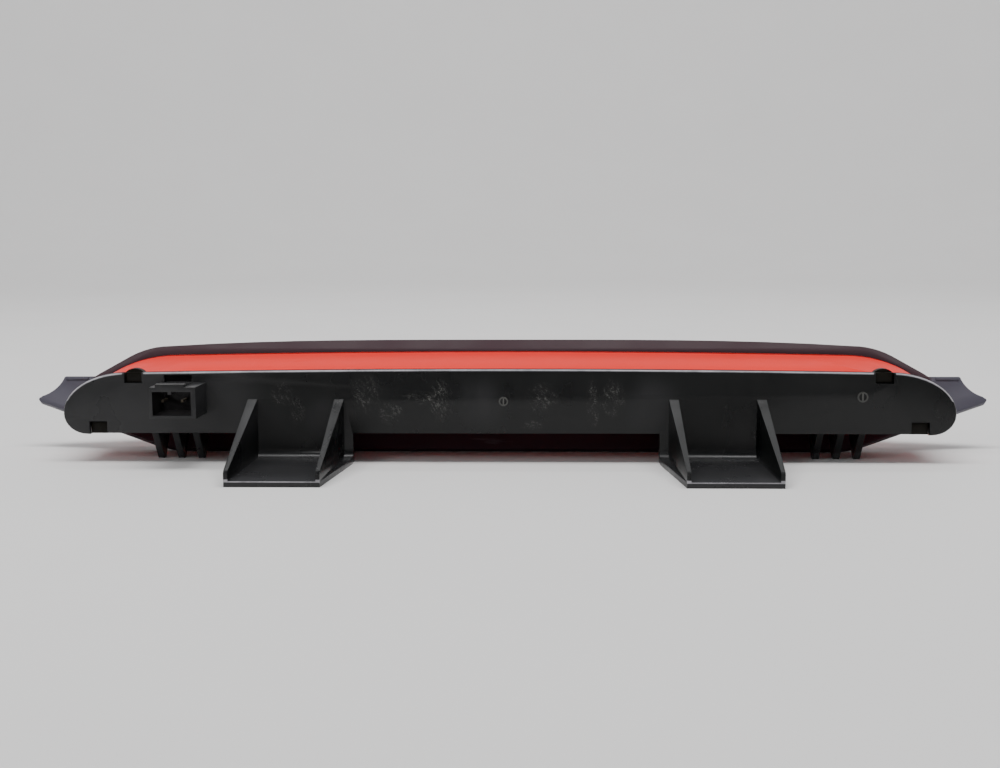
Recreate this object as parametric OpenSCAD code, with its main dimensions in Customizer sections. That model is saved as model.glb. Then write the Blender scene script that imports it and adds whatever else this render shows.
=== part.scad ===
// High-level brake light for a steeply raked rear window.
// X runs along the lamp, Y from the mounting feet towards the glass, Z up from the feet.
// The origin is on the plane of the feet, at the middle of the whole lamp.

/* [Rear cover] */
// Length of the rear cover
cover_w = 302.2; // [299:0.2:306]
// Height of the cover's lowest edge above the feet
cover_bottom = 9.5; // [8:0.1:11]
// Height of the cover's top edge at its rounded ends
cover_top = 30.7; // [29:0.1:32]
// Rise of the top edge at mid-length
crown = 1.2; // [0.2:0.1:2]
// Thickness of the cover
cover_t = 2.5; // [2:0.1:3]
// Radius of the rounded edge round the outer face
edge_r = 0.9; // [0.4:0.1:1.2]

/* [Brackets] */
// Middle of each bracket from the middle of the lamp
bracket_x = 71.2; // [60:0.1:84]
// Width of a bracket over its side gussets, at the cover
bracket_w = 32.6; // [28:0.2:40]
// Length of the foot, from the cover's face
foot_len = 42.6; // [30:0.2:50]
// Thickness of the foot
foot_t = 1.8; // [1.4:0.1:2.5]
// Height of the gussets where they meet the cover
gusset_h = 21.7; // [16:0.1:24]
// Height of the gussets at the front of the foot
gusset_front_h = 5.1; // [3:0.1:8]

/* [Ribs] */
// Place of the innermost rib from the middle of the lamp
rib_x = 106; // [95:0.5:112]
// Distance between ribs
rib_pitch = 7; // [5:0.5:8]
// Ribs at each end
rib_n = 3; // [1:1:3]
// Thickness of a rib
rib_t = 2.2; // [1.5:0.1:3]

/* [Snap windows] */
// Middle of each top window
top_window_x = 126.7; // [122:0.1:130]
// Middle of each bottom window
low_window_x = 139.1; // [134:0.1:140]
// Width of a window
window_w = 6.1; // [5:0.1:7]
// Depth of a window
window_h = 4; // [3:0.1:5]

/* [Connector socket] */
// Middle of the socket
socket_x = -109.4; // [-110:0.1:-109.2]
// Height of the socket's middle
socket_z = 22.2; // [20:0.1:24]
// Outer width of the socket
socket_w = 15.4; // [14.6:0.1:18]
// Outer height of the socket
socket_h = 10.4; // [9:0.1:12]
// How far the socket stands out of the cover
socket_len = 14; // [8:0.5:18]
// Distance between the two terminals
pin_pitch = 6.6; // [4:0.1:6.6]

/* [Lens] */
// Angle between the glass and the plane of the feet
glass_angle = 55; // [45:1:65]
// Wall thickness of the lens
lens_t = 1.8; // [1.4:0.1:1.8]
// Length of the lens where it meets the cover
lens_w = 296.4; // [296:0.2:298]
// Length of the lens at the glass, where its walls have flared out
lens_front_w = 303.8; // [300:0.2:305]

/* [Front bezel] */
// Thickness of the bezel
bezel_t = 2.5; // [1.5:0.1:3]
// Length over the tips of the wing tabs
bezel_w = 342.4; // [336:0.2:348]
// Thickness of the foam seal
seal_t = 2.5; // [1:0.1:4]

/* [Lamp unit] */
// Number of light-emitting diodes
led_n = 16; // [12:2:16]
// Distance between diodes
led_pitch = 16; // [15:0.5:16]
// Side of a diode's square body
led_side = 7.6; // [5:0.1:8]
// Height of the diodes' axes above the feet
led_z = 21; // [20.5:0.1:21]

/* [Hidden] */
resistor_n = 4;
$fn = 48;

// Point where the visible side of the bezel meets the lamp's underside, and its slope
bezel_y = 28;
bezel_z = 13.56;
// The bezel's own outline, measured up the glass from that point
bezel_low = (bezel_t * cos(glass_angle) - bezel_z) / sin(glass_angle);
bezel_top = 27.1;
bezel_rise = 2.75;
tab_top = 14.3;
tab_slope = 0.37;
tab_near = [bezel_w / 2 - 0.6, 4];
seal_in = 1.2;
seal_tip = 154.3;
shoulder_x = 126;
shoulder_r = 25;
shoulder_turn = 34;
// Clearances
fit_gap = 0.15;
hook_gap = 0.3;
hook_y = 1.2;
window_top = 31.1;
// Outlines of the cover and lens: heights of the lens, and corner sizes
lens_low = 11.6;
lens_rear_top = 30.2;
lens_front_top = 32.9;
lens_front_y = 45.5;
lens_face_z = -2.1;
lens_face_t = 2.2;
low_corner = [8, 6.9];
lens_low_corner = [5, 5];
cover_corner = 22;
lens_rear_corner = 22;
lens_front_corner = 30;
straight_side = 0.2;
// Circuit board and the pieces on it
board_y = 8;
board_t = 1.6;
board_front = board_y + board_t;
board_size = [268, 13.6];
board_low = led_z - board_size[1] / 2;
board_top = led_z + board_size[1] / 2;
screw_x = led_pitch * [-8, -3, 3, 8];
stake_x = led_pitch * [-5, 0, 5];
post_r = 2.8;
screw_r = 1.25;
stake_r = 1.3;
reflector_y = 12.2;
reflector_depth = 7;
pin_x = socket_x - 2.3;
pin_z = socket_z - 0.4;
pin_w = 0.8;
latch_x = socket_x - 0.9;
pin_reach = 6;
socket_walls = [1, 1.6];

// The whole lamp is centred between the front of the feet and the far edge of the seal
y_far = bezel_y + (bezel_top + bezel_rise - seal_in) * cos(glass_angle)
    + (bezel_t + seal_t) * sin(glass_angle);
y_mid = (y_far - foot_len) / 2;

function led_name(i) = str("led_", i < 10 ? "0" : "", i);
function led_x(i) = (i - (led_n + 1) / 2) * led_pitch;

function arc(c, r, a0, a1, n = 10) =
    [for (i = [0:n]) let (a = a0 + (a1 - a0) * i / n) [c[0] + r[0] * cos(a), c[1] + r[1] * sin(a)]];

// Points of the right half, whose last lies on the middle, then the rest of them mirrored
function both_sides(half) =
    concat(half, [for (i = [len(half) - 2:-1:0]) [-half[i][0], half[i][1]]]);

// Outline of the cover or lens: small corners below, long corners and a crowned edge above
function body_outline(w, low, top, low_r, corner, in) =
    let (hw = w / 2, x0 = hw - corner, inset = [in, in],
        corner_h = top - low - low_r[1] - straight_side)
    both_sides(concat(
        arc([hw - low_r[0], low + low_r[1]], low_r - inset, -90, 0, 8),
        arc([x0, top - corner_h], [corner, corner_h] - inset, 0, 90, 14),
        [for (i = [1:6]) let (x = x0 * (1 - i / 6)) [x, top - in + crown * (1 - pow(x / x0, 2))]]));

function cover_outline(in = 0) =
    body_outline(cover_w, cover_bottom, cover_top, low_corner, cover_corner, in);

function lens_rear_outline(in = 0) =
    body_outline(lens_w, lens_low, lens_rear_top, lens_low_corner, lens_rear_corner, in);

function lens_front_outline(in = 0) =
    body_outline(lens_front_w, lens_low, lens_front_top, lens_low_corner, lens_front_corner, in);

// The lens outline as it appears on the slanting plane of the glass
function on_slope(points) = [for (p = points) [p[0], (p[1] - bezel_z) / sin(glass_angle)]];

// Top edge of the bezel, which falls away towards the shoulders
function bezel_edge(x, in) = bezel_top - in + bezel_rise * (1 - pow(abs(x) / shoulder_x, 3.4));

function bezel_crest(in) =
    concat(
        arc([shoulder_x, bezel_top - shoulder_r], [shoulder_r - in, shoulder_r - in],
            90 - shoulder_turn, 90, 6),
        [for (i = [1:8]) let (x = shoulder_x * (1 - i / 8)) [x, bezel_edge(x, in)]]);

// Low corner of the bezel or seal, where its bottom edge turns up towards the wing tab
function low_turn(low, rise) =
    let (x = tab_near[0] - (tab_near[1] + rise - low) / tab_slope, r = 20, turn = atan(tab_slope))
    arc([x - r * tan(turn / 2), low + r], [r, r], -90, turn - 90, 4);

// Bezel with its wing tabs, whose ends are hollowed like a fish's tail
function bezel_outline() =
    let (tip = bezel_w / 2)
    both_sides(concat(
        low_turn(bezel_low, 0),
        [tab_near],
        arc([tip - 0.8, 4.9], [0.8, 0.8], -50, 80, 4),
        arc([tip + 2.6, tab_top + 2], [10.8, 10.8], 250, 198, 8),
        arc([tip - 8.6, tab_top - 0.8], [0.8, 0.8], 10, 90, 4),
        [[151.9, tab_top], [150.6, tab_top + 1.1]],
        bezel_crest(0)));

// The foam seal leaves the wing tabs free, and stays just above the plane of the feet
function seal_outline() =
    both_sides(concat(
        low_turn(bezel_low + 2, 0.5),
        [[seal_tip - 1.8, -2.2], [seal_tip, -0.4], [seal_tip, 12.2]],
        bezel_crest(seal_in)));

// Lies a flat shape on the glass plane, with its thickness towards the glass
module on_glass(depth, thickness)
    translate([0, bezel_y, bezel_z]) rotate([glass_angle, 0, 0])
        translate([0, 0, -depth - thickness]) linear_extrude(thickness) children();

// Stands an X-Z outline up, from one Y to another
module along_y(y0, y1)
    translate([0, y1, 0]) rotate([90, 0, 0]) linear_extrude(y1 - y0) children();

// Sweeps a Y-Z profile along X, centred on x
module along_x(x, w)
    translate([x - w / 2, 0, 0]) rotate([90, 0, 90]) linear_extrude(w) children();

module mirrored() {
    children();
    mirror([1, 0, 0]) children();
}

// Cylinder along Y between two Y values
module rod(x, z, r, y0, y1)
    translate([x, y1, z]) rotate([90, 0, 0]) cylinder(r = r, h = y1 - y0);

// Point on the glass plane at a height z, and a depth below the visible side of the bezel
function slope_y(z, depth) =
    bezel_y + (z - bezel_z) / tan(glass_angle) + depth / sin(glass_angle);

// Solid wedge of the lens: its flaring walls, cut off along the glass
module lens_envelope(in, face_depth, rear) {
    low = lens_low - 1;
    high = lens_front_top + crown + 1;
    intersection() {
        hull() {
            along_y(rear, rear + 0.1) polygon(lens_rear_outline(in));
            along_y(lens_front_y, lens_front_y + 0.1) polygon(lens_front_outline(in));
        }
        along_x(0, lens_front_w + 2) polygon([
            [rear - 1, low], [slope_y(low, face_depth), low],
            [slope_y(high, face_depth), high], [rear - 1, high]]);
    }
}

// Hooks of the lens fill the cover's windows from behind, a little below its face
module snap_hooks() {
    root = 4.5;
    neck = cover_t + 0.1;
    top_hook = [27.4, 30.7];
    top_neck = 28.9;
    low_hook = [9.8, 13.6];
    low_neck = lens_low + 0.1;
    dome_z = 29;
    dome_r = [3.7, 2.9];
    mirrored() {
        along_x(top_window_x, window_w - 2 * hook_gap) polygon([
            [root, top_neck], [neck, top_neck], [neck, top_hook[0]],
            [hook_y, top_hook[0]], [hook_y, top_hook[1]], [root, top_hook[1]]]);
        along_y(cover_t, root + 0.8)
            polygon(arc([top_window_x, dome_z], dome_r, 0, 180, 12));
        along_x(low_window_x, window_w - 2 * hook_gap) polygon([
            [root, low_neck], [neck, low_neck], [neck, low_hook[0]],
            [hook_y, low_hook[0]], [hook_y, low_hook[1]], [root, low_hook[1]]]);
    }
}

module lens() color([0.72, 0.03, 0.03, 0.8]) {
    difference() {
        lens_envelope(0, -lens_face_z, cover_t);
        lens_envelope(lens_t, -lens_face_z - lens_face_t, 1);
    }
    snap_hooks();
}

module cover_plate()
    hull() {
        along_y(0, 0.1) polygon(cover_outline(edge_r));
        along_y(edge_r * 0.3, edge_r * 0.3 + 0.1) polygon(cover_outline(edge_r * 0.3));
        along_y(edge_r, cover_t) polygon(cover_outline());
    }

// Skirt that locates the lens from inside
module cover_skirt() {
    outer = lens_t + fit_gap;
    skirt_t = 1.3;
    along_y(cover_t - 0.5, cover_t + 3) difference() {
        polygon(lens_rear_outline(outer));
        polygon(lens_rear_outline(outer + skirt_t));
    }
}

module window_cuts()
    mirrored() {
        translate([top_window_x - window_w / 2, -1, window_top - window_h])
            cube([window_w, cover_t + 2, 10]);
        translate([low_window_x - window_w / 2, -1, 0])
            cube([window_w, cover_t + 2, cover_bottom + window_h + 0.5]);
        translate([0, -1, 0])
            cube([low_window_x - window_w / 2, cover_t + 2, cover_bottom + 0.5]);
    }

// Tapered side plate of a bracket: thick at the cover and thin at the front
module gusset(x0, x1, front_x0, front_x1)
    intersection() {
        linear_extrude(gusset_h) polygon([
            [x0, 0.5], [x1, 0.5], [x1, 0], [front_x1, -foot_len], [front_x0, -foot_len], [x0, 0]]);
        along_x((x0 + x1) / 2, 20) polygon([
            [0.5, 0], [0.5, gusset_h], [0, gusset_h], [-foot_len + 0.6, gusset_front_h],
            [-foot_len, gusset_front_h - 0.8], [-foot_len, 0]]);
    }

// L-shaped bracket: upright plate, foot and two gussets, the outer one on the lamp's outer side
module bracket() {
    outer = bracket_x + bracket_w / 2;
    inner = bracket_x - bracket_w / 2;
    tail = inner - 3;
    draft = 1.2;
    bend_r = 3;
    linear_extrude(foot_t) polygon([
        [outer, 0], [outer - draft, -foot_len], [inner + draft + 0.3, -foot_len],
        [tail, -4], [tail, 0]]);
    translate([tail, 0, 0]) cube([outer - tail, cover_t - 0.3, cover_bottom + 2]);
    difference() {
        translate([tail, -bend_r, foot_t - 0.1]) cube([outer - tail, bend_r + 0.1, bend_r + 0.1]);
        translate([tail - 1, -bend_r, foot_t + bend_r]) rotate([0, 90, 0])
            cylinder(r = bend_r, h = outer - tail + 2);
    }
    gusset(outer - 3.2, outer, outer - draft - 1.3, outer - draft);
    gusset(inner, inner + 3.2, inner + draft + 0.3, inner + draft + 1.6);
}

// Spacer ribs under the lamp, hung from a tongue of the cover
module ribs() {
    tongue_t = 1.5;
    tongue_end = 17;
    last = rib_x + (rib_n - 1) * rib_pitch;
    translate([rib_x - 3, cover_t - 0.5, cover_bottom + 0.5])
        cube([last - rib_x + 6, tongue_end - cover_t + 0.5, tongue_t]);
    for (i = [0:rib_n - 1])
        along_x(rib_x + i * rib_pitch, rib_t) polygon([
            [0.6, cover_bottom + 1], [8, 0], [9.8, 0], [tongue_end, cover_bottom + 1]]);
}

module socket_outer() {
    bridge_w = 9.6;
    translate([socket_x - socket_w / 2, -socket_len, socket_z - socket_h / 2])
        cube([socket_w, socket_len + 0.5, socket_h]);
    translate([latch_x - bridge_w / 2, -socket_len, socket_z])
        cube([bridge_w, 3, socket_h / 2 + 1]);
}

// Cavity for the plug, with a key rib at its top and an open latch window behind the bridge
module socket_cavity() {
    left = socket_x - socket_w / 2 + socket_walls[0];
    w = socket_w - socket_walls[0] - socket_walls[1];
    low = socket_z - socket_h / 2 + 1;
    h = socket_h - 2.5;
    latch_w = 9.2;
    key_w = 1.2;
    difference() {
        translate([left, -socket_len - 1, low]) cube([w, socket_len + 0.5, h]);
        translate([latch_x - key_w / 2, -socket_len, low + h - 0.9])
            cube([key_w, socket_len - 4, 2]);
    }
    translate([latch_x - latch_w / 2, -socket_len + 3, low + h - 0.1])
        cube([latch_w, socket_len - 3.2, 3]);
}

// Shallow recess in the cover above the socket, for the plug's latch
module latch_recess() {
    w = 9.6;
    depth = 1.7;
    top = 29.9;
    low = socket_z + socket_h / 2 + 0.1;
    translate([latch_x - 1 - w / 2, -1, low]) cube([w, depth + 1, top - low]);
}

// Round date clock: a raised ring with a pointer
module date_clock(x, z, r) {
    relief = 0.35;
    rim = 0.5;
    difference() {
        rod(x, z, r, -relief, 0.2);
        rod(x, z, r - rim, -1, 1);
    }
    translate([x - rim / 2, -relief, z - r + rim / 2]) cube([rim, relief + 0.2, 2 * r - rim]);
}

module posts()
    for (x = screw_x) rod(x, led_z, post_r, cover_t - 0.5, board_y);

module post_holes()
    for (x = screw_x) rod(x, led_z, screw_r, cover_t + 0.5, board_y + 1);

module pin_shape(y0, y1, x)
    translate([x - pin_w / 2, y0, pin_z - pin_w / 2]) cube([pin_w, y1 - y0, pin_w]);

module rear_cover() color([0.09, 0.09, 0.1]) difference() {
    union() {
        difference() {
            cover_plate();
            window_cuts();
        }
        cover_skirt();
        mirrored() {
            bracket();
            ribs();
        }
        difference() {
            socket_outer();
            socket_cavity();
        }
        date_clock(-0.8, 21, 1.6);
        date_clock(119.5, 22.6, 1.8);
        posts();
    }
    post_holes();
    latch_recess();
    for (side = [-1, 1]) pin_shape(-2, cover_t + 1, pin_x + side * pin_pitch / 2);
}

module front_bezel() color([0.13, 0.12, 0.14]) {
    difference() {
        on_glass(0, bezel_t) polygon(bezel_outline());
        lens_envelope(0, 10, cover_t);
    }
    mirrored() translate([0, bezel_y, bezel_z]) rotate([glass_angle, 0, 0])
        translate([seal_tip, tab_top - 1.6, -0.1]) cube([8.2, 1.3, 0.5]);
}

module glass_seal() color([0.22, 0.22, 0.22])
    on_glass(bezel_t, seal_t) difference() {
        polygon(seal_outline());
        polygon(on_slope(lens_front_outline(-fit_gap * 2)));
    }

module circuit_board() color([0.05, 0.3, 0.14])
    difference() {
        translate([-board_size[0] / 2, board_y, board_low])
            cube([board_size[0], board_t, board_size[1]]);
        for (x = screw_x) rod(x, led_z, screw_r + 0.35, board_y - 1, board_front + 1);
        for (x = stake_x) rod(x, led_z, stake_r, board_y - 1, board_front + 1);
        for (side = [-1, 1])
            pin_shape(board_y - 1, board_front + 1, pin_x + side * pin_pitch / 2);
    }

// Bright strip with one conical cup for each diode, staked to the board
module reflector() color([0.85, 0.85, 0.87]) {
    w = led_n * led_pitch + 6;
    h = board_size[1];
    cup_r = [3.4, 6.4];
    rivet_r = 2.2;
    spacer_r = 2;
    difference() {
        translate([-w / 2, reflector_y, led_z - h / 2]) cube([w, reflector_depth, h]);
        for (i = [1:led_n])
            translate([led_x(i), reflector_y - 0.01, led_z]) rotate([-90, 0, 0])
                cylinder(r1 = cup_r[0], r2 = cup_r[1], h = reflector_depth + 0.02);
    }
    for (x = stake_x) {
        rod(x, led_z, stake_r, board_y - 1, reflector_y + 0.5);
        rod(x, led_z, rivet_r, board_y - 1.2, board_y);
        rod(x, led_z, spacer_r, board_front, reflector_y + 0.5);
    }
}

// Square diode body with a domed lens
module led(i) color([0.8, 0.25, 0.22]) {
    body_t = 2.2;
    dome_r = 2.5;
    translate([led_x(i) - led_side / 2, board_front, led_z - led_side / 2])
        cube([led_side, body_t, led_side]);
    rod(led_x(i), led_z, dome_r, board_front + body_t - 0.1, board_front + body_t + 1);
    translate([led_x(i), board_front + body_t + 1, led_z]) sphere(r = dome_r);
}

module resistor(i) color([0.1, 0.1, 0.1]) {
    size = [6.2, 0.7, 2.4];
    x = (i - (resistor_n + 1) / 2) * 4 * led_pitch;
    translate([x - size[0] / 2, board_front, board_top - size[2] - 0.3]) cube(size);
}

module protection_diode() color([0.12, 0.12, 0.12]) {
    size = [4.4, 2.1, 2.2];
    translate([socket_x - 6.4 - size[0] / 2, board_front, board_low + 0.4]) cube(size);
}

module terminal(side) color([0.8, 0.72, 0.5]) {
    x = pin_x + side * pin_pitch / 2;
    pin_shape(-pin_reach, board_front + 1, x);
}

// Pan-head screws in the posts
module board_screws() color([0.75, 0.75, 0.78]) {
    head_r = 2.7;
    head_h = 1.9;
    for (x = screw_x) {
        rod(x, led_z, screw_r, cover_t + 1.5, board_front + 0.1);
        difference() {
            rod(x, led_z, head_r, board_front, board_front + head_h);
            for (turn = [0, 90])
                translate([x, board_front + head_h, led_z]) rotate([0, turn, 0])
                    cube([3, 1.6, 0.6], center = true);
        }
    }
}

translate([0, -y_mid, 0]) {
    rear_cover();
    lens();
    front_bezel();
    glass_seal();
    circuit_board();
    reflector();
    terminal(-1);  // terminal_live
    terminal(1);  // terminal_earth
    board_screws();
    protection_diode();
    for (i = [1:led_n])
        led(i);
    for (i = [1:resistor_n])
        resistor(i);
}
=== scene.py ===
"""Looks of a high-level brake light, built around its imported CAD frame."""
import math

import bmesh
import bpy
from mathutils import Matrix, Vector


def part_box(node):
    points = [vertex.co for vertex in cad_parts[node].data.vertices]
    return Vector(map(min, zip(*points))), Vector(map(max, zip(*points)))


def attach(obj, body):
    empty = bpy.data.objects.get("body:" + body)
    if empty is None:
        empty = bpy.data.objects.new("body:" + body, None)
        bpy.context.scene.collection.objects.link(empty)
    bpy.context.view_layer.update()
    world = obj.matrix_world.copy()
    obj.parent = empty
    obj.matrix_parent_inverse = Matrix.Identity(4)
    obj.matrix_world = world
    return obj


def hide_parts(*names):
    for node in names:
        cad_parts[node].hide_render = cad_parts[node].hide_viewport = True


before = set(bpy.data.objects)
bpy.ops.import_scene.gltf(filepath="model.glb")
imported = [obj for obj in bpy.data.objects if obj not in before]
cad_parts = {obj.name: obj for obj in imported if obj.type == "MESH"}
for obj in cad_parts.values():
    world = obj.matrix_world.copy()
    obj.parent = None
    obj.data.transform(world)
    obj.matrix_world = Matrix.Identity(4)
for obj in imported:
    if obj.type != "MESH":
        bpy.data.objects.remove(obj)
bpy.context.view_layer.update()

MM = 0.001
# Y of the cover's outer face in mm: its feet reach 42.6 mm out in front of it
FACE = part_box("rear_cover")[0][1] / MM + 42.6
# Sloping plane at the back of the bezel: its slant in degrees, and a point of it in mm
SLOPE_ANGLE = 55
SLOPE_Y = FACE + 28
SLOPE_Z = 13.56


# ---------------------------------------------------------------- node helpers

class Nodes:
    """A short way to write a procedural material.

    Its patterns lie in the object's own coordinates, in metres.
    """

    def __init__(self, name):
        self.mat = bpy.data.materials.new(name)
        self.mat.use_nodes = True
        self.tree = self.mat.node_tree
        self.shader = self.tree.nodes["Principled BSDF"]
        self.where = self.tree.nodes.new("ShaderNodeTexCoord").outputs["Object"]

    def add(self, kind, inputs=None, **settings):
        node = self.tree.nodes.new(kind)
        for key, value in settings.items():
            setattr(node, key, value)
        for key, value in (inputs or {}).items():
            self.put(node.inputs[key], value)
        return node

    def put(self, socket, value):
        """Links another node's output to a socket, or sets a plain value."""
        if isinstance(value, bpy.types.NodeSocket):
            self.tree.links.new(value, socket)
        else:
            socket.default_value = value

    def set(self, **values):
        """Sets the shader's own inputs, with _ for the spaces in their names."""
        for key, value in values.items():
            self.put(self.shader.inputs[key.replace("_", " ")], value)

    def scaled(self, scale):
        return self.add("ShaderNodeMapping", {"Vector": self.where, "Scale": scale}).outputs[0]

    def noise(self, scale, detail=4.0, rough=0.55, stretch=(1, 1, 1)):
        made = self.add("ShaderNodeTexNoise", {
            "Vector": self.scaled(stretch), "Scale": scale, "Detail": detail, "Roughness": rough})
        return made.outputs["Fac"]

    def cells(self, scale):
        made = self.add("ShaderNodeTexVoronoi", {"Vector": self.where, "Scale": scale})
        return made.outputs["Distance"]

    def ramp(self, value, low, high, to_low=0.0, to_high=1.0):
        """Passes smoothly from to_low to to_high while the value goes from low to high."""
        made = self.add("ShaderNodeMapRange", {
            "Value": value, "From Min": low, "From Max": high,
            "To Min": to_low, "To Max": to_high}, interpolation_type="SMOOTHSTEP")
        return made.outputs[0]

    def math(self, operation, a, b=0.0):
        made = self.add("ShaderNodeMath", operation=operation)
        self.put(made.inputs[0], a)
        self.put(made.inputs[1], b)
        return made.outputs[0]

    def mix(self, factor, a, b):
        made = self.add("ShaderNodeMix", data_type="RGBA")
        self.put(made.inputs["Factor"], factor)
        self.put(made.inputs["A"], a)
        self.put(made.inputs["B"], b)
        return made.outputs["Result"]

    def bump(self, height, strength, distance, under=None):
        inputs = {"Height": height, "Strength": strength, "Distance": distance}
        if under is not None:
            inputs["Normal"] = under
        return self.add("ShaderNodeBump", inputs).outputs[0]

    def strokes(self, slant, scale, long):
        """Noise drawn out into strokes that slant by so many degrees across the cover."""
        turned = self.add("ShaderNodeMapping", {
            "Vector": self.where, "Rotation": (0, math.radians(slant), 0),
            "Scale": (long, 1, 1)}, vector_type="TEXTURE").outputs[0]
        made = self.add("ShaderNodeTexNoise", {
            "Vector": turned, "Scale": scale, "Detail": 6.0, "Roughness": 0.7})
        return made.outputs["Fac"]


def rgb(r, g, b):
    return (r, g, b, 1.0)


# ------------------------------------------------------------------- materials

# Rubbed places on the cover: x, z, half width and half height in mm, slant in degrees
SCUFFS = (
    (-76, 23.5, 4.5, 6, 50), (-71, 17.5, 3.5, 6, 58), (-47, 23.5, 7, 8, 50), (-39, 17, 6, 5, 38),
    (-29, 22, 8, 3, 4), (-22, 21, 5, 10, 62), (9, 12.8, 5, 2, 10), (12, 22, 6.5, 6.5, 33),
    (29.5, 20.5, 3, 10, 86), (36, 22, 5, 8, 70))
# Hazy places on the cover: x, z, half width and half height in mm
HAZES = ((-100, 16, 30, 9), (-62, 15, 9, 9), (-9, 20, 12, 12), (49, 19, 12, 13))
# Date clocks on the cover: x and z in mm
CLOCKS = ((-0.8, 21), (119.5, 22.6))


def patch(n, x, z, wide, high):
    """1 at a place on the cover, falling to 0 at the given half-sizes in mm."""
    centre = (x * MM, FACE * MM, z * MM)
    size = (wide * MM, 40 * MM, high * MM)
    offset = n.add("ShaderNodeVectorMath", {0: n.where, 1: centre}, operation="SUBTRACT")
    spread = n.add("ShaderNodeVectorMath", {0: offset.outputs[0], 1: size}, operation="DIVIDE")
    length = n.add("ShaderNodeVectorMath", {0: spread.outputs[0]}, operation="LENGTH")
    return n.ramp(length.outputs["Value"], 0.15, 1.0, 1.0, 0.0)


def brightest(n, masks):
    """The highest of several masks at every place."""
    total = masks[0]
    for one in masks[1:]:
        total = n.math("MAXIMUM", total, one)
    return total


def scuffs(n):
    """Speckled, rubbed dust, each patch slanting its own way."""
    broken = n.math("MULTIPLY", n.ramp(n.noise(2600, 5, 0.8), 0.44, 0.58),
                    n.ramp(n.noise(260, 3), 0.38, 0.60, 0.25, 1.0))
    marks = []
    for x, z, wide, high, slant in SCUFFS:
        drawn = n.ramp(n.strokes(slant, 1000, 2.4), 0.46, 0.66, 0.08, 1.0)
        marks.append(n.math("MULTIPLY", patch(n, x, z, wide, high), drawn))
    return n.math("MULTIPLY", brightest(n, marks), broken)


def hazes(n):
    """Soft patches where the gloss has gone a little grey."""
    return brightest(n, [patch(n, *haze) for haze in HAZES])


def within(n, soft, x=None, y=None, z=None):
    """1 inside the given spans in mm, fading to 0 over a soft border."""
    parts = n.add("ShaderNodeSeparateXYZ", {"Vector": n.where}).outputs
    mask = None
    for value, span in zip(parts, (x, y, z)):
        if span is None:
            continue
        for at, low, high in ((span[0], 0.0, 1.0), (span[1], 1.0, 0.0)):
            side = n.ramp(value, (at - soft) * MM, (at + soft) * MM, low, high)
            mask = side if mask is None else n.math("MULTIPLY", mask, side)
    return mask


def painted_edge_highlights(n):
    """Painted highlights that make the rounded top edge of the cover and the front edges of the feet
    lighter.
    """
    rim = within(n, 0.12, y=(FACE + 0.16, FACE + 0.62), z=(21, 40))
    top = n.math("MULTIPLY", rim, n.math("SUBTRACT", 1.0, top_windows(n)))
    feet = within(n, 0.08, y=(FACE - 43, FACE - 42.35), z=(1.5, 2.4))
    # Painted highlight: noise breaks the edge highlight up into patches along the edges
    rubbed = n.ramp(n.noise(120, 5, 0.7), 0.35, 0.65, 0.60, 1.0)
    return n.math("MULTIPLY", n.math("MAXIMUM", top, n.math("MULTIPLY", feet, 0.75)), rubbed)


def top_windows(n):
    """The two snap windows that cut through the cover's top edge."""
    return n.math("MAXIMUM", within(n, 0.2, x=(-130.4, -123.0)), within(n, 0.2, x=(123.0, 130.4)))


def ledge(n):
    """Narrow upper side of the cover behind its rounded edge, where the reflection is turned down as
    painted shade, so that it shows as a dark line.
    """
    return within(n, 0.08, y=(FACE + 0.72, FACE + 3.2), z=(24, 40))


def shaded_places(n):
    """Inside of the connector socket and the recess above it, where little light comes."""
    socket = within(n, 0.3, x=(-116.4, -103.0), y=(FACE - 13.6, FACE + 0.4), z=(17.6, 25.4))
    recess = within(n, 0.2, x=(-116.6, -105.8), y=(FACE + 0.5, FACE + 2.4), z=(27.0, 30.4))
    return n.math("MAXIMUM", socket, recess)


def clock_dust(n):
    """Dust on the raised rings of the two date clocks."""
    rings = [patch(n, x, z, 3.2, 3.2) for x, z in CLOCKS]
    raised = within(n, 0.08, y=(FACE - 1, FACE - 0.12))
    return n.math("MULTIPLY", brightest(n, rings), raised)


def cover_dust(n, smear):
    """All the dust of the cover: rubbed patches, stray specks and the date clocks."""
    stray = n.math("MULTIPLY", n.ramp(n.noise(1900, 5, 0.8), 0.66, 0.72), n.ramp(smear, 0.5, 0.62))
    return brightest(n, [n.math("MULTIPLY", scuffs(n), 0.55), n.math("MULTIPLY", stray, 0.3),
                         n.math("MULTIPLY", clock_dust(n), 0.3)])


def cover_colour(n, smear, dust, haze, edge):
    """Near-black plastic, greyer at its left end, greyer on the feet as painted sheen, with dust and
    with painted highlights on its edges.
    """
    # Painted sheen: the feet are made greyer to stand in for the reflection on their tops
    feet = within(n, 0.3, z=(-1, 2.6))
    left_end = n.math("MULTIPLY", within(n, 9, x=(-190, -88)), n.ramp(smear, 0.3, 0.6, 0.6, 1.0))
    clean = n.mix(n.ramp(smear, 0.35, 0.65), rgb(0.0025, 0.0028, 0.003), rgb(0.0055, 0.006, 0.006))
    greyer_left = n.mix(left_end, clean, rgb(0.022, 0.022, 0.023))
    hazed_and_feet_sheen = n.mix(n.math("MAXIMUM", haze, feet), greyer_left, rgb(0.019, 0.019, 0.020))
    dusty = n.mix(dust, hazed_and_feet_sheen, rgb(0.28, 0.28, 0.26))
    # Painted highlight: the edges are mixed towards a pale grey
    return n.mix(n.math("MULTIPLY", edge, 0.88), dusty, rgb(0.55, 0.53, 0.57))


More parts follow.
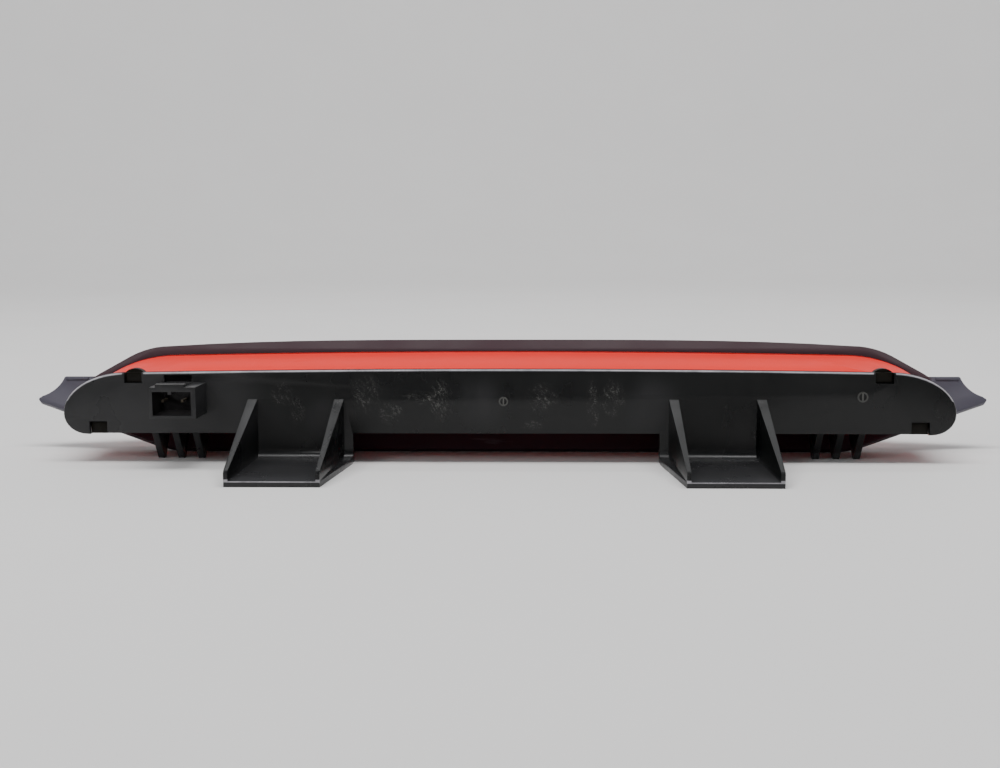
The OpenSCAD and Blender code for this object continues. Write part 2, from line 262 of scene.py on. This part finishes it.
def black_plastic():
    n = Nodes("black_plastic")
    smear = n.noise(30, 5, 0.6, (1, 1, 0.5))
    grain = n.noise(2600, 2)
    ripple = n.noise(60, 3, 0.5, (1, 1, 2))
    dust = cover_dust(n, smear)
    haze = n.math("MULTIPLY", hazes(n), n.ramp(smear, 0.35, 0.6, 0.3, 1.0))
    dim = shaded_places(n)
    edge = painted_edge_highlights(n)
    lit = cover_colour(n, smear, dust, haze, edge)
    rough = n.math("ADD", n.ramp(smear, 0.35, 0.65, 0.24, 0.36),
                   n.math("ADD", n.math("MULTIPLY", dust, 0.35), n.math("MULTIPLY", haze, 0.12)))
    # The gloss rises on the painted edge highlights and falls in the shaded places
    gloss = n.math("MULTIPLY", n.ramp(edge, 0.0, 1.0, 0.30, 0.9), n.ramp(dim, 0.0, 1.0, 1.0, 0.4))
    n.set(Base_Color=n.mix(dim, lit, rgb(0.0110, 0.0100, 0.0104)), Roughness=rough,
          Specular_IOR_Level=n.math("MULTIPLY", gloss, n.ramp(ledge(n), 0.0, 1.0, 1.0, 0.08)),
          Normal=n.bump(grain, 0.12, 0.02 * MM, n.bump(ripple, 0.3, 0.08 * MM)))
    return n.mat


def bezel_plastic():
    n = Nodes("bezel_plastic")
    cloud = n.noise(40, 5, 0.6)
    spark = n.noise(3200, 2)
    scratch = n.ramp(n.noise(90, 8, 0.75, (0.25, 3, 1)), 0.62, 0.70)
    right_tab = within(n, 0.8, x=(152.5, 180))
    left_tab = within(n, 0.8, x=(-180, -152.5))
    # Painted reflection: the band is tinted red for the red surface it reflects
    band = n.mix(cloud, rgb(0.029, 0.0120, 0.0165), rgb(0.046, 0.019, 0.027))
    # Painted light: the tabs are made a lighter bluish grey for the light that falls on them from
    # above
    base = n.mix(n.math("MAXIMUM", left_tab, right_tab), band, rgb(0.070, 0.066, 0.086))
    n.set(Base_Color=n.mix(n.math("MULTIPLY", scratch, 0.25), base, rgb(0.14, 0.13, 0.14)),
          Roughness=n.ramp(cloud, 0.3, 0.7, 0.44, 0.58),
          Normal=n.bump(spark, 0.25, 0.03 * MM))
    n.set(Specular_IOR_Level=0.17)
    return n.mat


def upper_walls(n):
    """Masks for the clearness and the gloss of the lens's upper wall, fading down its sides.

    The first ends just behind the fluted face, the second under the bezel.
    """
    parts = n.add("ShaderNodeSeparateXYZ", {"Vector": n.where}).outputs
    slope = math.radians(SLOPE_ANGLE)
    along = n.math("MULTIPLY", n.math("SUBTRACT", parts["Y"], SLOPE_Y * MM), math.sin(slope))
    rise = n.math("MULTIPLY", n.math("SUBTRACT", parts["Z"], SLOPE_Z * MM), math.cos(slope))
    depth = n.math("SUBTRACT", along, rise)
    high = n.ramp(parts["Z"], 17 * MM, 31 * MM)
    return [n.math("MULTIPLY", high, n.ramp(depth, a * MM, b * MM, 1.0, 0.0))
            for a, b in ((-2.4, -1.1), (0.0, 1.5))]


def red_lens():
    n = Nodes("red_lens")
    haze = n.noise(55, 5, 0.6)
    hair = n.ramp(n.noise(140, 8, 0.75, (0.4, 3, 1)), 0.64, 0.72)
    cloudy, matt = upper_walls(n)
    sheen = n.math("ADD", n.ramp(haze, 0.3, 0.7, 0.09, 0.14), n.math("MULTIPLY", hair, 0.15))
    n.set(Base_Color=n.mix(haze, rgb(0.92, 0.028, 0.020), rgb(0.97, 0.045, 0.034)),
          Roughness=n.math("ADD", sheen, n.math("MULTIPLY", cloudy, 0.26)),
          Specular_IOR_Level=n.ramp(matt, 0.0, 1.0, 0.42, 0.01),
          Transmission_Weight=n.ramp(cloudy, 0.0, 1.0, 0.80, 0.15),
          Normal=n.bump(haze, 0.05, 0.04 * MM))
    n.set(IOR=1.49)
    return n.mat


def painted_lens_shade():
    # Painted shade: near-black colours for the parts of the red lens that show dark
    n = Nodes("painted_lens_shade")
    cloud = n.noise(160, 4)
    n.set(Base_Color=n.mix(cloud, rgb(0.0035, 0.0026, 0.0015), rgb(0.0085, 0.0070, 0.0042)),
          Roughness=n.ramp(cloud, 0.3, 0.7, 0.30, 0.46),
          Normal=n.bump(n.noise(1500, 2), 0.1, 0.02 * MM))
    n.set(Specular_IOR_Level=0.12)
    return n.mat


def foam():
    n = Nodes("foam")
    cells = n.cells(1700)
    cloud = n.noise(90, 5)
    n.set(Base_Color=n.mix(cloud, rgb(0.022, 0.022, 0.023), rgb(0.05, 0.05, 0.05)),
          Roughness=n.ramp(cells, 0.0, 0.6, 0.98, 0.82),
          Normal=n.bump(cells, 0.7, 0.25 * MM))
    n.set(Specular_IOR_Level=0.2)
    return n.mat


def solder_mask():
    n = Nodes("board")
    weave = n.add("ShaderNodeTexWave", {"Vector": n.where, "Scale": 900, "Distortion": 0.4},
                  bands_direction="Z").outputs["Fac"]
    tracks = n.ramp(n.add("ShaderNodeTexBrick", {
        "Vector": n.where, "Scale": 90, "Mortar Size": 0.05}).outputs["Fac"], 0.4, 0.6)
    cloud = n.noise(50, 4)
    solder = n.mix(cloud, rgb(0.008, 0.11, 0.045), rgb(0.014, 0.16, 0.065))
    n.set(Base_Color=n.mix(n.math("MULTIPLY", tracks, 0.5), solder, rgb(0.03, 0.24, 0.10)),
          Roughness=n.ramp(cloud, 0.3, 0.7, 0.28, 0.42),
          Normal=n.bump(n.math("ADD", weave, tracks), 0.15, 0.03 * MM))
    return n.mat


def metal(name, light, dark, rough, grain):
    """A metal that clouds between two colours, with grain as the scale of its clouds."""
    n = Nodes(name)
    cloud = n.noise(grain, 5, 0.6)
    n.set(Base_Color=n.mix(cloud, rgb(*dark), rgb(*light)),
          Roughness=n.ramp(cloud, 0.3, 0.7, rough, rough + 0.14),
          Normal=n.bump(n.noise(grain * 6, 3, 0.6), 0.12, 0.02 * MM))
    n.set(Metallic=1.0)
    return n.mat


def led_resin():
    n = Nodes("led_resin")
    cloud = n.noise(400, 4)
    n.set(Base_Color=n.mix(cloud, rgb(0.80, 0.10, 0.07), rgb(0.90, 0.20, 0.14)),
          Roughness=n.ramp(cloud, 0.3, 0.7, 0.08, 0.18),
          Normal=n.bump(n.noise(2200, 2), 0.05, 0.02 * MM))
    n.set(Transmission_Weight=0.5, IOR=1.5)
    return n.mat


def chip_black():
    n = Nodes("chip_black")
    grain = n.noise(2400, 3)
    n.set(Base_Color=n.mix(n.noise(300, 3), rgb(0.014, 0.014, 0.014), rgb(0.035, 0.035, 0.036)),
          Roughness=n.ramp(grain, 0.3, 0.7, 0.5, 0.7),
          Normal=n.bump(grain, 0.3, 0.03 * MM))
    return n.mat


def floor_paper():
    n = Nodes("floor_paper")
    n.set(Base_Color=n.mix(n.noise(9, 3), rgb(0.77, 0.76, 0.75), rgb(0.81, 0.80, 0.79)),
          Roughness=0.62)
    return n.mat


# -------------------------------------------------------------- mesh of pieces

def cad_copy(node, name):
    """The CAD node's mesh as an editable piece, with its flat faces joined up again."""
    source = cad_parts[node]
    mesh = bpy.data.meshes.new(name)
    bm = bmesh.new()
    bm.from_mesh(source.data)
    bm.transform(source.matrix_world)
    bmesh.ops.remove_doubles(bm, verts=bm.verts, dist=0.002 * MM)
    bmesh.ops.dissolve_limit(bm, angle_limit=math.radians(0.08), verts=bm.verts, edges=bm.edges)
    bm.to_mesh(mesh)
    bm.free()
    piece = bpy.data.objects.new(name, mesh)
    bpy.context.scene.collection.objects.link(piece)
    return piece


def apply_modifiers(piece):
    """Writes the result of a piece's modifiers into its mesh."""
    depsgraph = bpy.context.evaluated_depsgraph_get()
    done = bpy.data.meshes.new_from_object(piece.evaluated_get(depsgraph))
    piece.modifiers.clear()
    piece.data = done


def shade_smooth(mesh):
    """Shades a mesh smooth, but for its edges over 40 degrees."""
    for polygon in mesh.polygons:
        polygon.use_smooth = True
    mesh.set_sharp_from_angle(angle=math.radians(40))


def soften(piece, width):
    """Rounds the sharp edges a little, as moulding does, and shades the rest smooth."""
    bevel = piece.modifiers.new("edges", "BEVEL")
    bevel.width = width
    bevel.segments = 2
    bevel.limit_method = "ANGLE"
    bevel.angle_limit = math.radians(30)
    bevel.use_clamp_overlap = True
    apply_modifiers(piece)
    shade_smooth(piece.data)


def place(piece, node, material):
    """Gives a piece its one material and puts it in its CAD node's stead."""
    piece.data.materials.clear()
    piece.data.materials.append(material)
    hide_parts(node)
    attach(piece, "root")


def rounded_piece(node, name, material, width):
    """A CAD node's copy with softened edges, standing in for the node."""
    piece = cad_copy(node, name)
    soften(piece, width)
    place(piece, node, material)
    return piece


def dark_hooks(lens, material):
    """Paints shade on the lens's hooks, on its rim against the cover and on its parts in the low
    windows, which show dark, because the light that enters them ends in the cover.
    """
    lens.data.materials.append(material)
    rim, reach = lens_rim_y(), 2.9 * MM
    hook_x, hook_half = 126.7 * MM, 3.9 * MM
    low_x, low_half, low_z = 139.1 * MM, 4.5 * MM, 15 * MM
    for polygon in lens.data.polygons:
        x, y, z = polygon.center
        in_dome = abs(abs(x) - hook_x) < hook_half and y < rim + reach
        in_low = abs(abs(x) - low_x) < low_half and z < low_z and y < rim + reach
        if y < rim + 0.1 * MM or in_dome or in_low:
            polygon.material_index = 1


def lens_rim_y():
    """Where the lens meets the cover: 5.5 mm in front of the circuit board."""
    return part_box("circuit_board")[0][1] - 5.5 * MM


def flute(lens, pitch, depth, steps=4):
    """Cuts upright flutes into the inside of the lens's slanting face.

    The face is cut across at every step of a flute, and the cuts are then moved out to a curve.
    """
    bm = bmesh.new()
    bm.from_mesh(lens.data)
    slope = math.radians(SLOPE_ANGLE)
    inward = Vector((0, -math.sin(slope), math.cos(slope)))
    facing = [f for f in bm.faces if f.normal.dot(inward) > 0.999]
    inner = max(facing, key=lambda f: f.calc_area())
    xs = [v.co.x for v in inner.verts]
    geometry = {inner, *inner.edges, *inner.verts}
    first = math.ceil(min(xs) / pitch * steps) + 1
    last = math.floor(max(xs) / pitch * steps)
    place_in_flute = {}
    for k in range(first, last):
        cut = bmesh.ops.bisect_plane(
            bm, geom=[g for g in geometry if g.is_valid], dist=0.001 * MM,
            plane_co=(k * pitch / steps, 0, 0), plane_no=(1, 0, 0))
        geometry.update(cut["geom"])
        for vert in cut["geom_cut"]:
            if isinstance(vert, bmesh.types.BMVert):
                place_in_flute[vert] = (k % steps) / steps
    for vert, along in place_in_flute.items():
        vert.co.y -= 4 * depth * along * (1 - along) / math.sin(slope)
    bm.to_mesh(lens.data)
    bm.free()
    shade_smooth(lens.data)


# ------------------------------------------------------------- scene and light

def camera():
    """Looks down a little at the cover, from 392 mm in front of its feet and 80 mm up."""
    feet_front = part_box("rear_cover")[0][1]
    stand = Vector((10.5 * MM, feet_front - 391.9 * MM, 80.3 * MM))
    data = bpy.data.cameras.new("camera")
    data.lens = 46.8
    data.sensor_width = 36
    data.clip_start = 0.01
    seen = bpy.data.objects.new("camera", data)
    yaw, pitch, roll = (math.radians(a) for a in (-1.64, 7.0, -0.16))
    ahead = Vector((math.sin(yaw) * math.cos(pitch), math.cos(yaw) * math.cos(pitch),
                    -math.sin(pitch)))
    side = Vector((math.cos(yaw), -math.sin(yaw), 0))
    up = side.cross(ahead)
    right = math.cos(roll) * side + math.sin(roll) * up
    above = math.cos(roll) * up - math.sin(roll) * side
    turn = Matrix((right, above, -ahead)).transposed().to_4x4()
    seen.matrix_world = Matrix.Translation(stand) @ turn
    bpy.context.scene.collection.objects.link(seen)
    bpy.context.scene.camera = seen


def soft_light(name, place_at, aim, size, power):
    """An oblong lamp that shines from one point towards another; sizes in m, power in W."""
    data = bpy.data.lights.new(name, "AREA")
    data.shape = "RECTANGLE"
    data.size, data.size_y = size
    data.energy = power
    lamp = bpy.data.objects.new(name, data)
    lamp.location = place_at
    direction = Vector(aim) - Vector(place_at)
    lamp.rotation_euler = direction.to_track_quat("-Z", "Y").to_euler()
    bpy.context.scene.collection.objects.link(lamp)


def bowl(flat, cove, wall, sides=96):
    """Floor that curves up into a wall all round, so that no horizon shows from any side."""
    arc = [math.radians(a) for a in range(0, 91, 6)]
    flat_rings = 6
    profile = [(flat * k / flat_rings, 0) for k in range(1, flat_rings)]
    profile += [(flat + cove * math.sin(a), cove * (1 - math.cos(a))) for a in arc]
    profile.append((flat + cove, cove + wall))
    bm = bmesh.new()
    rings = [[bm.verts.new((r * math.cos(math.tau * k / sides), r * math.sin(math.tau * k / sides), z))
              for k in range(sides)] for r, z in profile]
    bm.faces.new(rings[0])
    for inner, outer in zip(rings, rings[1:]):
        for k in range(sides):
            after = (k + 1) % sides
            bm.faces.new((inner[k], outer[k], outer[after], inner[after]))
    mesh = bpy.data.meshes.new("floor")
    bm.to_mesh(mesh)
    bm.free()
    for polygon in mesh.polygons:
        polygon.use_smooth = True
    floor = bpy.data.objects.new("floor", mesh)
    bpy.context.scene.collection.objects.link(floor)
    return floor


def studio():
    """A pale floor under soft light from above, with a little from the front."""
    world = bpy.data.worlds.new("studio")
    world.use_nodes = True
    world.node_tree.nodes["Background"].inputs["Color"].default_value = (0.90, 0.93, 1.0, 1)
    world.node_tree.nodes["Background"].inputs["Strength"].default_value = 0.30
    bpy.context.scene.world = world
    soft_light("overhead", (0, -0.05, 1.25), (0, 0, 0), (1.7, 0.42), 19)
    soft_light("backdrop", (0, 0.75, 1.5), (0, 1.9, 0.5), (1.6, 0.5), 14)
    soft_light("front", (-0.55, -0.75, 0.65), (0, 0, 0.02), (0.3, 0.3), 1.6)
    floor = bowl(1.3, 0.8, 0.6)
    floor.data.materials.append(floor_paper())


# ------------------------------------------------------------------ the object

def give(nodes, material):
    """Puts a better material in the slots of the CAD nodes that keep their shape."""
    for node in nodes:
        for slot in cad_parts[node].material_slots:
            slot.material = material


def starting(word):
    return [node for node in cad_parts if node.startswith(word)]


def build():
    """Replaces the four moulded pieces and gives the others their materials."""
    rounded_piece("rear_cover", "cover_shell", black_plastic(), 0.22 * MM)
    rounded_piece("front_bezel", "bezel_frame", bezel_plastic(), 0.3 * MM)
    lens = rounded_piece("lens", "lens_shell", red_lens(), 0.2 * MM)
    flute(lens, 6 * MM, 0.8 * MM)
    dark_hooks(lens, painted_lens_shade())
    rounded_piece("glass_seal", "seal_strip", foam(), 0.5 * MM)
    give(["circuit_board"], solder_mask())
    give(["reflector"], metal("bright_reflector", (0.92, 0.92, 0.94), (0.82, 0.82, 0.84), 0.06, 70))
    give(starting("terminal_"),
         metal("terminal_metal", (0.14, 0.125, 0.10), (0.08, 0.065, 0.045), 0.42, 500))
    give(["board_screws"], metal("screw_steel", (0.70, 0.70, 0.72), (0.50, 0.50, 0.52), 0.3, 600))
    give(starting("led_"), led_resin())
    give(starting("resistor_") + ["protection_diode"], chip_black())


camera()
studio()
build()
